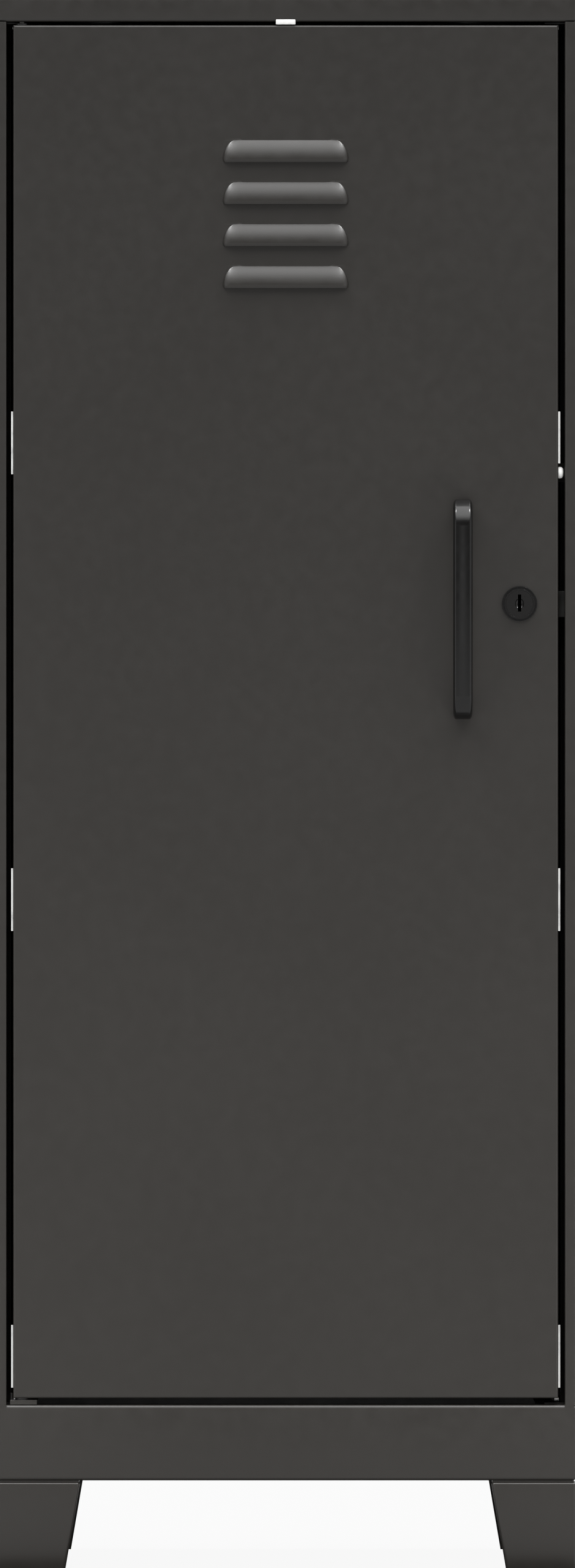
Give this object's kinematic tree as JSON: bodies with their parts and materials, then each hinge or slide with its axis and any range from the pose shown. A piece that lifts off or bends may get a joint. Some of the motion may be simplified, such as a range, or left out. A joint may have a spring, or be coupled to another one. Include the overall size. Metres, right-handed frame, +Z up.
{
  "type": "metal locker",
  "caption": "Narrow sheet-metal locker on folded legs, with an inset louvred door on pivot pins, a bow handle, a cam lock and hung shelves inside.",
  "frame": {"origin": "on the floor, under the middle of the whole object's box", "axes": "the door faces -Y, +X is to the right of someone facing the door, +Z is up"},
  "size_m": [0.37, 0.4292, 1],
  "materials": {
    "dark_powder_coat": "fine-textured satin powder coat, warm anthracite",
    "zinc_plate": "bright zinc plate",
    "white_nylon": "moulded nylon",
    "black_nylon": "moulded black nylon",
    "handle_black": "smooth satin dark coat",
    "lock_black": "black-plated die casting"
  },
  "bodies": {
    "cabinet": {"top_panel": "dark_powder_coat", "base_frame": "dark_powder_coat", "left_side_panel": "dark_powder_coat", "right_side_panel": "dark_powder_coat", "back_panel": "dark_powder_coat", "floor_shelf": "dark_powder_coat", "lower_shelf": "dark_powder_coat", "upper_shelf": "dark_powder_coat", "front_left_upright": "dark_powder_coat", "front_right_upright": "dark_powder_coat", "rear_left_upright": "dark_powder_coat", "rear_right_upright": "dark_powder_coat", "front_left_leg": "dark_powder_coat", "front_right_leg": "dark_powder_coat", "rear_left_leg": "dark_powder_coat", "rear_right_leg": "dark_powder_coat", "latch_keeper": "dark_powder_coat", "stop_bracket": "dark_powder_coat", "bottom_pivot_plate": "dark_powder_coat", "floor_shelf_hangers": "zinc_plate", "lower_shelf_hangers": "zinc_plate", "upper_shelf_hangers": "zinc_plate", "back_panel_rivets": "zinc_plate", "seam_screws": "zinc_plate", "seam_nuts": "zinc_plate", "leg_bolts": "zinc_plate", "leg_nuts": "zinc_plate", "top_pivot_pin": "zinc_plate", "bottom_pivot_pin": "zinc_plate", "top_bumper": "white_nylon"},
    "door": {"door_skin": "dark_powder_coat", "door_stiffener": "dark_powder_coat", "top_pivot_bush": "black_nylon", "bottom_pivot_bush": "black_nylon", "door_handle": "handle_black", "handle_screws": "zinc_plate", "lock_barrel": "lock_black", "lock_nut": "zinc_plate", "edge_bumper": "white_nylon"},
    "lock_core": {"lock_plug": "lock_black", "lock_cam": "zinc_plate", "cam_screw": "zinc_plate"}
  },
  "joints": [
    {"name": "door_swing", "type": "hinge", "parent": "cabinet", "child": "door", "pos_m": [-0.168, -0.1801, 0.546], "axis": [0, 0, -1], "range_deg": [0, 105]},
    {"name": "lock_turn", "type": "hinge", "parent": "door", "child": "lock_core", "pos_m": [0.1488, -0.1633, 0.6147], "axis": [0, -1, 0], "range_deg": [0, 90]}
  ]
}
